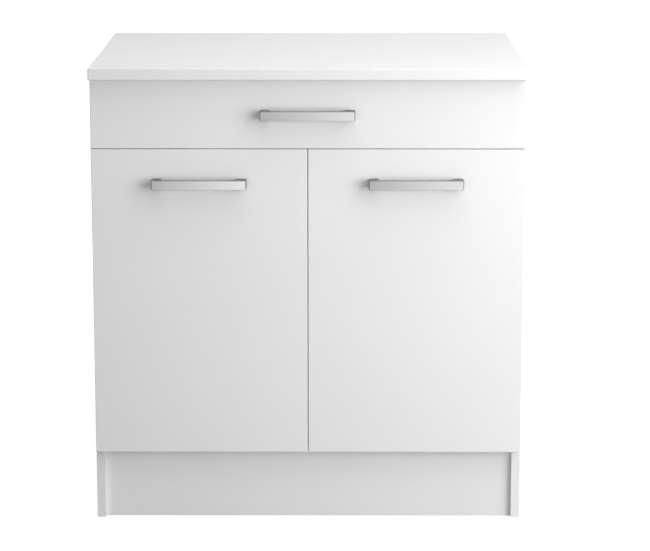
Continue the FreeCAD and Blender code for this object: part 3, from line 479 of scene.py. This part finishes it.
def steelWithPaintedLight(name):
    low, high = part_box(name)
    material, tree, shader, place = startFinish("brushed_steel_painted_light_" + name)
    lines = useEffect(tree, "brushedLines", stretch(tree, place, steelLook["lineStretch"]))
    facing = split(tree, addNode(tree, "ShaderNodeTexCoord").outputs["Normal"])
    front = spread(tree, facing[1], *steelLook["frontNormal"])
    # painted highlight: the bar's front is lighter from its left end to its right, by place along x
    paintedHighlightSweep = spread(tree, split(tree, place)[0], low.x, high.x)
    left = blendColor(tree, lines["Tone"], steelLook["dullLeftOfPaintedSweep"], steelLook["brightLeftOfPaintedSweep"])
    right = blendColor(tree, lines["Tone"], steelLook["dullRightOfPaintedSweep"], steelLook["brightRightOfPaintedSweep"])
    # painted shade: the handle's top, ends and posts are coloured dark
    side = blendColor(tree, lines["Tone"], steelLook["side"], steelLook["paintedShadeSideLine"])
    color = blendColor(tree, front, side, blendColor(tree, paintedHighlightSweep, left, right))
    link(tree, color, shader.inputs["Base Color"])
    rough = between(tree, lines["Gloss"], *steelLook["rough"])
    link(tree, rough, shader.inputs["Roughness"])
    addBump(tree, shader, lines["Height"], steelLook["bumpStrength"], steelLook["bumpDepth"])
    shader.inputs["Metallic"].default_value = 1.0
    shader.inputs["Anisotropic"].default_value = steelLook["anisotropic"]
    return material


# plated parts: the colours of dull and bright patches, their scale, and the range of roughness
platedLooks = {
    "nickel": {
        "dull": (0.65, 0.635, 0.60), "bright": (0.73, 0.715, 0.68),
        "patchScale": 70.0, "rough": (0.22, 0.32),
    },
    "zinc": {
        "dull": (0.50, 0.515, 0.53), "bright": (0.68, 0.69, 0.70),
        "patchScale": 420.0, "rough": (0.24, 0.42),
    },
}
platedBump = {"strength": 0.06, "depth": 0.00005}


def platedFinish(name):
    look = platedLooks[name]
    material, tree, shader, place = startFinish(name + "_plate")
    plate = useEffect(tree, "plated", place, {"Patch Scale": look["patchScale"]})
    color = blendColor(tree, plate["Patch"], look["dull"], look["bright"])
    link(tree, color, shader.inputs["Base Color"])
    link(tree, between(tree, plate["Gloss"], *look["rough"]), shader.inputs["Roughness"])
    addBump(tree, shader, plate["Height"], platedBump["strength"], platedBump["depth"])
    shader.inputs["Metallic"].default_value = 1.0
    return material


# painted and moulded parts: two colours, the grain's scale and how strongly it is raised, the range
# of roughness, and how much light goes through
mouldedLooks = {
    "powder_coat": {
        "low": (0.80, 0.80, 0.79), "high": (0.85, 0.85, 0.84),
        "grainScale": 650.0, "bumpStrength": 0.16, "rough": (0.34, 0.5), "soft": 0.0,
    },
    "nylon": {
        "low": (0.74, 0.735, 0.70), "high": (0.82, 0.815, 0.785),
        "grainScale": 1100.0, "bumpStrength": 0.08, "rough": (0.38, 0.52), "soft": 0.12,
    },
    "bumper_rubber": {
        "low": (0.70, 0.70, 0.68), "high": (0.78, 0.78, 0.76),
        "grainScale": 800.0, "bumpStrength": 0.1, "rough": (0.5, 0.66), "soft": 0.2,
    },
}
mouldedDepths = {"bump": 0.0001, "light": (0.002, 0.002, 0.0015)}


def mouldedFinish(name):
    look = mouldedLooks[name]
    material, tree, shader, place = startFinish(name)
    skin = useEffect(tree, "moulded", place, {"Grain Scale": look["grainScale"]})
    color = blendColor(tree, skin["Tone"], look["low"], look["high"])
    link(tree, color, shader.inputs["Base Color"])
    link(tree, between(tree, skin["Gloss"], *look["rough"]), shader.inputs["Roughness"])
    addBump(tree, shader, skin["Height"], look["bumpStrength"], mouldedDepths["bump"])
    shader.inputs["Subsurface Weight"].default_value = look["soft"]
    shader.inputs["Subsurface Radius"].default_value = mouldedDepths["light"]
    return material


beechLook = {
    "dark": (0.55, 0.38, 0.22),
    "light": (0.72, 0.53, 0.34),
    "fleck": (0.42, 0.27, 0.15),
    "grainStretch": (70, 900, 900),
    "fleckStretch": (320, 1800, 1800),
    "fleckRange": (0.6, 0.75),
    "rough": (0.55, 0.7),
    "bumpStrength": 0.2,
    "bumpDepth": 0.0001,
}


def beechFinish():
    material, tree, shader, place = startFinish("beech_dowel")
    grain = stretch(tree, place, beechLook["grainStretch"])
    grain = noise(tree, grain, 1.0, detail=4.0, roughness=0.6)
    grain = spread(tree, grain, *noiseRange)
    flecks = stretch(tree, place, beechLook["fleckStretch"])
    flecks = noise(tree, flecks, 1.0, detail=2.0, roughness=0.5)
    flecks = spread(tree, flecks, *beechLook["fleckRange"])
    wood = blendColor(tree, grain, beechLook["dark"], beechLook["light"])
    wood = blendColor(tree, flecks, wood, beechLook["fleck"])
    link(tree, wood, shader.inputs["Base Color"])
    link(tree, between(tree, grain, *beechLook["rough"]), shader.inputs["Roughness"])
    addBump(tree, shader, grain, beechLook["bumpStrength"], beechLook["bumpDepth"])
    return material


slotFinish = {
    "hinge_nickel": platedFinish("nickel"),
    "zinc_fittings": platedFinish("zinc"),
    "runner_paint": mouldedFinish("powder_coat"),
    "nylon": mouldedFinish("nylon"),
    "bumper_rubber": mouldedFinish("bumper_rubber"),
    "beech": beechFinish(),
}


def dress(piece, material):
    piece.data.materials.clear()
    piece.data.materials.append(material)


for name, node in nodes.items():
    if name in boards:
        dress(node, boardFinish(name, boards[name]))
    elif name in hardboards:
        dress(node, hardboardFinish(name, hardboards[name]))
    elif slotOf[name] == "handle_steel":
        dress(node, steelWithPaintedLight(name))
    else:
        dress(node, slotFinish[slotOf[name]])
print("finishes set on", len(nodes), "nodes")


# Modelling helpers. A face looks along a direction when the cosine between them is over faceAlike,
# and places that differ by less than nearZero metres count as one
faceAlike = 0.9
nearZero = 1e-6
smoothAngle = math.radians(35)


def clearSelection():
    if bpy.context.mode != "OBJECT":
        bpy.ops.object.mode_set(mode="OBJECT")
    bpy.ops.object.select_all(action="DESELECT")


def selectOnly(piece):
    clearSelection()
    bpy.context.view_layer.objects.active = piece
    piece.select_set(True)


def selectParts(piece, kind, wanted):
    bpy.ops.mesh.select_mode(type=kind)
    bpy.ops.mesh.select_all(action="DESELECT")
    mesh = bmesh.from_edit_mesh(piece.data)
    for part in {"FACE": mesh.faces, "EDGE": mesh.edges}[kind]:
        part.select_set(wanted(part))
    bmesh.update_edit_mesh(piece.data)


def looksAlong(face, direction):
    return face.normal.dot(Vector(direction)) > faceAlike


def pushOut(x, y, z):
    bpy.ops.mesh.extrude_region_move(TRANSFORM_OT_translate={"value": (x, y, z)})


def startCylinder(corners, radius, high):
    # a cylinder with its top at the origin, open for editing
    clearSelection()
    bpy.ops.mesh.primitive_cylinder_add(
        vertices=corners, radius=radius, depth=high, location=(0, 0, -high / 2),
    )
    bpy.ops.object.transform_apply(location=True, rotation=True, scale=True)
    bpy.ops.object.mode_set(mode="EDIT")
    return bpy.context.active_object


# how much of a cross drive's width is left at its tip
crossTip = 0.45


def makeCross(reach, width, depth):
    # a cross drive's cutter: a block with four arms, drawn in towards its tip
    clearSelection()
    bpy.ops.mesh.primitive_cube_add(size=1, location=(0, 0, 0), scale=(width, width, 2 * depth))
    cutter = bpy.context.active_object
    bpy.ops.object.transform_apply(location=True, rotation=True, scale=True)
    bpy.ops.object.mode_set(mode="EDIT")
    for direction in ((1, 0, 0), (-1, 0, 0), (0, 1, 0), (0, -1, 0)):
        toward = Vector(direction)
        selectParts(cutter, "FACE", lambda face: looksAlong(face, toward) and
                    abs(face.calc_center_median().dot(toward) - width / 2) < nearZero)
        pushOut(*(toward * (reach - width / 2)))
    selectParts(cutter, "FACE", lambda face: looksAlong(face, (0, 0, -1)))
    bpy.ops.transform.resize(value=(crossTip, crossTip, 1.0), center_override=(0, 0, -depth))
    bpy.ops.object.mode_set(mode="OBJECT")
    return cutter


def cutOut(piece, cutter):
    selectOnly(piece)
    cut = piece.modifiers.new("cut", "BOOLEAN")
    cut.operation = "DIFFERENCE"
    cut.solver = "EXACT"
    cut.object = cutter
    bpy.ops.object.modifier_apply(modifier=cut.name)
    bpy.data.objects.remove(cutter)


def smoothOver(piece):
    selectOnly(piece)
    bpy.ops.object.shade_smooth_by_angle(angle=smoothAngle)


# each next screw of a piece is turned by this many degrees more
turnStep = 37


def setOut(pattern, name, spots, body, slot, replaced=None):
    # copies of a pattern joined into one piece. A spot has a place, the way the face looks and,
    # where it matters, the way the side points
    clearSelection()
    copies = []
    for index, (place, facing, *sideways) in enumerate(spots):
        one = pattern.copy()
        one.data = pattern.data.copy()
        bpy.context.scene.collection.objects.link(one)
        if sideways:
            across = Vector(facing).cross(Vector(sideways[0]))
            turn = Matrix((Vector(sideways[0]), across, Vector(facing))).transposed().to_4x4()
        else:
            turn = Vector((0, 0, 1)).rotation_difference(Vector(facing)).to_matrix().to_4x4()
            turn = turn @ Matrix.Rotation(math.radians(turnStep * index), 4, "Z")
        one.matrix_world = Matrix.Translation(place) @ turn
        copies.append(one)
    for one in copies:
        one.select_set(True)
    piece = copies[0]
    bpy.context.view_layer.objects.active = piece
    bpy.ops.object.join()
    bpy.ops.object.transform_apply(location=True, rotation=True, scale=True)
    piece.name = name
    piece.data.name = name
    dress(piece, slotFinish[slot])
    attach(piece, body)
    if replaced:
        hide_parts(replaced)


# Screws with a crowned head, a cross drive and a pointed end, in place of the plain ones. Sizes are
# in metres, and the shape that all share is in parts of the head's or the shank's size
screwKinds = {
    "plate": {"head": 0.0042, "high": 0.0015, "shank": 0.0025, "long": 0.012, "tip": 0.003},
    "cup": {"head": 0.003, "high": 0.001, "shank": 0.0016, "long": 0.0112, "tip": 0.002},
    "runner": {"head": 0.003, "high": 0.001, "shank": 0.0016, "long": 0.0122, "tip": 0.002},
    "slide": {"head": 0.003, "high": 0.001, "shank": 0.0016, "long": 0.0062, "tip": 0.0015},
    "handle": {"head": 0.0042, "high": 0.0022, "shank": 0.002, "long": 0.026, "tip": 0.0006},
    "back": {"head": 0.0035, "high": 0.003, "shank": 0.0024, "long": 0.035, "tip": 0.004},
    "worktop": {"head": 0.0038, "high": 0.0022, "shank": 0.0019, "long": 0.028, "tip": 0.004},
    "adjuster": {"head": 0.0033, "high": 0.0011, "shank": 0.0021, "long": 0.0008, "tip": 0.0002},
}
screwShape = {
    "corners": 28, "point": 0.3, "rim": 0.95, "crown": 0.55, "crownSteps": 3,
    "crossReach": 0.58, "crossWidth": 0.2, "crossDepth": 0.75,
}


def makeScrew(size):
    head, high = size["head"], size["high"]
    screw = startCylinder(screwShape["corners"], head, high)
    selectParts(screw, "FACE", lambda face: looksAlong(face, (0, 0, -1)))
    bpy.ops.mesh.inset(thickness=head - size["shank"])
    pushOut(0, 0, size["tip"] - size["long"])
    pushOut(0, 0, -size["tip"])
    bpy.ops.transform.resize(
        value=(screwShape["point"], screwShape["point"], 1.0),
        center_override=(0, 0, -high - size["long"]),
    )
    rim = head * screwShape["rim"]
    selectParts(screw, "EDGE", lambda edge: all(
        v.co.z > -nearZero and v.co.xy.length > rim for v in edge.verts
    ))
    bpy.ops.mesh.bevel(
        offset=high * screwShape["crown"], segments=screwShape["crownSteps"], affect="EDGES",
    )
    bpy.ops.object.mode_set(mode="OBJECT")
    cutOut(screw, makeCross(
        head * screwShape["crossReach"], head * screwShape["crossWidth"],
        high * screwShape["crossDepth"],
    ))
    smoothOver(screw)
    return screw


def middleOf(name):
    low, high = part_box(name)
    return (low + high) / 2


sides = {"left": -1, "right": 1}
inward, outward = -1, 1
hingeHeights = [middleOf(level + "_left_hinge_arm").z for level in ("lower", "upper")]
runnerRow = (-0.22, -0.092, 0.036)
runnerHeight = 0.732
slideSetback = 0.003
worktopGrid = {"xs": (-0.214, 0.214), "ys": (-0.217, 0.246), "z": 0.8198}
handleRow = {"step": 0.08, "doorBack": -0.26}
cupRow = {"out": 0.372, "y": -0.2578, "step": 0.0225}


def aroundHinges(step):
    return [height + way * step for height in hingeHeights for way in (-1, 1)]


def alongSides(out, way, ys, zs):
    # places left and right at one distance from the middle, with faces that look inward or outward
    return [((side * out, y, z), (way * side, 0, 0))
            for side in sides.values() for z in zs for y in ys]


# by the node that they replace: the kind of screw, the body that they ride on, and the spots
screwSpots = {
    "hinge_plate_screws": {
        "kind": "plate", "body": "carcass",
        "spots": alongSides(out=0.3805, way=inward, ys=[-0.22], zs=aroundHinges(step=0.016)),
    },
    "runner_screws": {
        "kind": "runner", "body": "carcass",
        "spots": alongSides(out=0.3818, way=inward, ys=runnerRow, zs=[runnerHeight]),
    },
    "slide_screws": {
        "kind": "slide", "body": "drawer",
        "spots": alongSides(out=0.3737, way=outward, ys=[y - slideSetback for y in runnerRow],
                            zs=[runnerHeight]),
    },
    "drawer_back_screws": {
        "kind": "back", "body": "drawer",
        "spots": alongSides(out=0.3715, way=outward, ys=[0.184], zs=[0.748, 0.785]),
    },
    "worktop_screws": {
        "kind": "worktop", "body": "carcass",
        "spots": [((x, y, worktopGrid["z"]), (0, 0, -1))
                  for x in worktopGrid["xs"] for y in worktopGrid["ys"]],
    },
}
for body in ("drawer", "left_door", "right_door"):
    spot = middleOf(body + "_handle")
    headTop = handleRow["doorBack"] + screwKinds["handle"]["high"]
    screwSpots[body + "_handle_screws"] = {
        "kind": "handle", "body": body,
        "spots": [((spot.x + way * handleRow["step"], headTop, spot.z), (0, 1, 0))
                  for way in (-1, 1)],
    }
for hand, side in sides.items():
    screwSpots[hand + "_hinge_cup_screws"] = {
        "kind": "cup", "body": hand + "_door",
        "spots": [((side * cupRow["out"], cupRow["y"], z), (0, 1, 0))
                  for z in aroundHinges(cupRow["step"])],
    }

patterns = {kind: makeScrew(size) for kind, size in screwKinds.items()}
for replaced, values in screwSpots.items():
    setOut(
        patterns[values["kind"]], "turned_" + replaced, values["spots"],
        values["body"], "zinc_fittings", replaced,
    )
print("screws set out:", sum(len(values["spots"]) for values in screwSpots.values()))

# the two adjusting screws in each hinge arm's back
setOut(
    patterns["adjuster"], "hinge_adjusters",
    alongSides(out=0.3749, way=inward, ys=[-0.234, -0.2035], zs=hingeHeights),
    "carcass", "hinge_nickel",
)
for pattern in patterns.values():
    bpy.data.objects.remove(pattern)
print("hinge adjusters set out")


# Cam discs with a cross drive in a dished face, and the slot that takes the bolt's head
camSize = {
    "corners": 40, "radius": 0.00735, "rim": 0.0011, "dish": 0.0005,
    "bevel": 0.0002, "bevelSteps": 2,
    "crossReach": 0.0045, "crossWidth": 0.0014, "crossDepth": 0.0026,
    "slotBack": 0.002, "slotHalf": 0.0035,
}


def makeCam(high, boltAt):
    cam = startCylinder(camSize["corners"], camSize["radius"], high)
    selectParts(cam, "FACE", lambda face: looksAlong(face, (0, 0, 1)))
    bpy.ops.mesh.inset(thickness=camSize["rim"])
    pushOut(0, 0, -camSize["dish"])
    selectParts(cam, "EDGE", lambda edge: all(v.co.z > -nearZero for v in edge.verts))
    bpy.ops.mesh.bevel(offset=camSize["bevel"], segments=camSize["bevelSteps"], affect="EDGES")
    bpy.ops.object.mode_set(mode="OBJECT")
    cutOut(cam, makeCross(camSize["crossReach"], camSize["crossWidth"], camSize["crossDepth"]))
    clearSelection()
    bpy.ops.mesh.primitive_cube_add(size=1, location=(0, 0, -boltAt))
    slot = bpy.context.active_object
    bpy.ops.object.mode_set(mode="EDIT")
    wide = camSize["slotHalf"] * 2
    bpy.ops.transform.resize(
        value=(camSize["slotBack"] * 2, wide, wide), center_override=(0, 0, -boltAt),
    )
    selectParts(slot, "FACE", lambda face: looksAlong(face, (1, 0, 0)))
    pushOut(2 * camSize["radius"], 0, 0)
    bpy.ops.object.mode_set(mode="OBJECT")
    cutOut(cam, slot)
    smoothOver(cam)
    return cam


# the carcass has cams under its boards, by their heights, and behind the plinth
boardCams = {
    "high": 0.012, "boltAt": 0.008, "out": 0.35,
    "under": {0.13: (-0.197, 0.226), 0.822: (-0.233, 0.23)},
    "plinth": (-0.231, 0.081),
}
boardCam = makeCam(boardCams["high"], boardCams["boltAt"])
setOut(
    boardCam, "turned_cam_discs",
    [((side * boardCams["out"], y, z), (0, 0, -1), (side, 0, 0))
     for side in sides.values() for z, ys in boardCams["under"].items() for y in ys]
    + [((side * boardCams["out"], *boardCams["plinth"]), (0, 1, 0), (side, 0, 0))
       for side in sides.values()],
    "carcass", "zinc_fittings", "cam_discs",
)

drawerCams = {"high": 0.0095, "boltAt": 0.006, "out": 0.3595, "y": -0.236, "z": 0.783}
drawerCam = makeCam(drawerCams["high"], drawerCams["boltAt"])
setOut(
    drawerCam, "turned_drawer_cams",
    [((side * drawerCams["out"], drawerCams["y"], drawerCams["z"]), (-side, 0, 0), (0, -1, 0))
     for side in sides.values()],
    "drawer", "zinc_fittings", "drawer_cams",
)
bpy.data.objects.remove(boardCam)
bpy.data.objects.remove(drawerCam)
print("cams set out")


# Stage: a pale floor that stays white to the camera and keeps the shadow, and a white background

def grey(level):
    return (level, level, level, 1.0)


def showTwoWays(tree, out, lighting, shown):
    # one shader lights other surfaces, and one is seen directly, in reflections and through glass
    paths = addNode(tree, "ShaderNodeLightPath").outputs
    seen = combine(tree, "MAXIMUM", paths["Is Camera Ray"], paths["Is Glossy Ray"])
    seen = combine(tree, "MAXIMUM", seen, paths["Is Transmission Ray"])
    pick = addNode(tree, "ShaderNodeMixShader")
    for index, socket in enumerate((seen, lighting.outputs[0], shown.outputs[0])):
        link(tree, socket, pick.inputs[index])
    link(tree, pick.outputs[0], out.inputs["Surface"])


# the floor glows less near the object, where its shadow falls, than far away
floorLook = {
    "halfWidth": 30.0, "matt": 0.30, "bounce": 0.24,
    "near": 0.7, "far": 2.2, "glowNear": 0.88, "glowFar": 1.0,
}


def makeFloor():
    clearSelection()
    bpy.ops.mesh.primitive_plane_add(size=2 * floorLook["halfWidth"], location=(0, 0, 0))
    floor = bpy.context.active_object
    floor.name = "pale_floor"
    material = bpy.data.materials.new("pale_floor")
    material.use_nodes = True
    tree = material.node_tree
    tree.nodes.clear()
    out = addNode(tree, "ShaderNodeOutputMaterial")
    plain = addNode(tree, "ShaderNodeBsdfDiffuse", None, {"Color": grey(floorLook["bounce"])})
    matt = addNode(tree, "ShaderNodeBsdfDiffuse", None, {"Color": grey(floorLook["matt"])})
    glow = addNode(tree, "ShaderNodeEmission")
    away = addNode(tree, "ShaderNodeVectorMath", {"operation": "LENGTH"})
    link(tree, addNode(tree, "ShaderNodeTexCoord").outputs["Object"], away.inputs[0])
    strength = spread(tree, away.outputs["Value"], floorLook["near"], floorLook["far"],
                      floorLook["glowNear"], floorLook["glowFar"])
    link(tree, strength, glow.inputs["Strength"])
    bright = addNode(tree, "ShaderNodeAddShader")
    link(tree, matt.outputs[0], bright.inputs[0])
    link(tree, glow.outputs[0], bright.inputs[1])
    showTwoWays(tree, out, plain, bright)
    floor.data.materials.append(material)


worldLook = {"white": 1.0, "seen": 1.0, "light": 0.144}


def makeWorld():
    world = bpy.data.worlds.new("soft_studio")
    bpy.context.scene.world = world
    world.use_nodes = True
    tree = world.node_tree
    tree.nodes.clear()
    out = addNode(tree, "ShaderNodeOutputWorld")
    white = grey(worldLook["white"])
    lightSky, seenSky = (
        addNode(tree, "ShaderNodeBackground", None, {"Color": white, "Strength": worldLook[use]})
        for use in ("light", "seen")
    )
    showTwoWays(tree, out, lightSky, seenSky)


# lamps: place, the point each looks at, width and height in metres, watts, and if gloss shows it
lamps = {
    "right_softbox": {
        "place": (1.8, -1.75, 0.8), "toward": (0.2, -0.2, 0.5),
        "size": (2.0, 1.2), "watts": 40, "shows": False,
    },
    "side_right": {
        "place": (1.3, -1.2, 1.7), "toward": (0.4, -0.3, 0.6),
        "size": (0.8, 0.8), "watts": 9.7, "shows": False,
    },
    "front_left": {
        "place": (-0.9, -3.0, 0.7), "toward": (0.0, -0.1, 0.45),
        "size": (1.6, 1.0), "watts": 9.3, "shows": False,
    },
    "overhead": {
        "place": (0.5, -0.6, 3.2), "toward": (0.0, 0.0, 0.4),
        "size": (2.6, 2.0), "watts": 41.3, "shows": True,
    },
    "over_right": {
        "place": (1.5, -0.3, 2.6), "toward": (0.1, 0.0, 0.6),
        "size": (1.8, 1.8), "watts": 8.5, "shows": True,
    },
    "left_low": {
        "place": (-2.2, 0.5, 0.45), "toward": (-0.4, 0.1, 0.45),
        "size": (1.4, 0.8), "watts": 11, "shows": False,
    },
    "rear_low": {
        "place": (0.3, 2.8, 0.45), "toward": (0.0, 0.3, 0.45),
        "size": (1.6, 0.8), "watts": 16, "shows": False,
    },
}


def makeLamps():
    for name, values in lamps.items():
        light = bpy.data.lights.new(name, "AREA")
        light.shape = "RECTANGLE"
        light.size, light.size_y = values["size"]
        light.energy = values["watts"]
        lamp = bpy.data.objects.new(name, light)
        bpy.context.scene.collection.objects.link(lamp)
        lamp.visible_glossy = values["shows"]
        lamp.location = values["place"]
        aim = Vector(values["toward"]) - Vector(values["place"])
        lamp.rotation_euler = aim.to_track_quat("-Z", "Y").to_euler()


# the camera's place in metres, its angles in radians, and its lens and sensor in millimetres
cameraView = {
    "place": (0.0510, -4.8704, 1.4195), "pitch": 0.2033, "yaw": -0.00417,
    "lens": 140.1, "sensor": 36.0,
}


def makeCamera():
    lens = bpy.data.cameras.new("photo_view")
    lens.lens = cameraView["lens"]
    lens.sensor_width = cameraView["sensor"]
    camera = bpy.data.objects.new("photo_view", lens)
    bpy.context.scene.collection.objects.link(camera)
    camera.location = cameraView["place"]
    camera.rotation_euler = (math.pi / 2 - cameraView["pitch"], 0, -cameraView["yaw"])
    bpy.context.scene.camera = camera


makeFloor()
makeWorld()
makeLamps()
makeCamera()
bpy.context.scene.view_settings.view_transform = "Standard"
print("stage, lamps and camera set")

clearSelection()
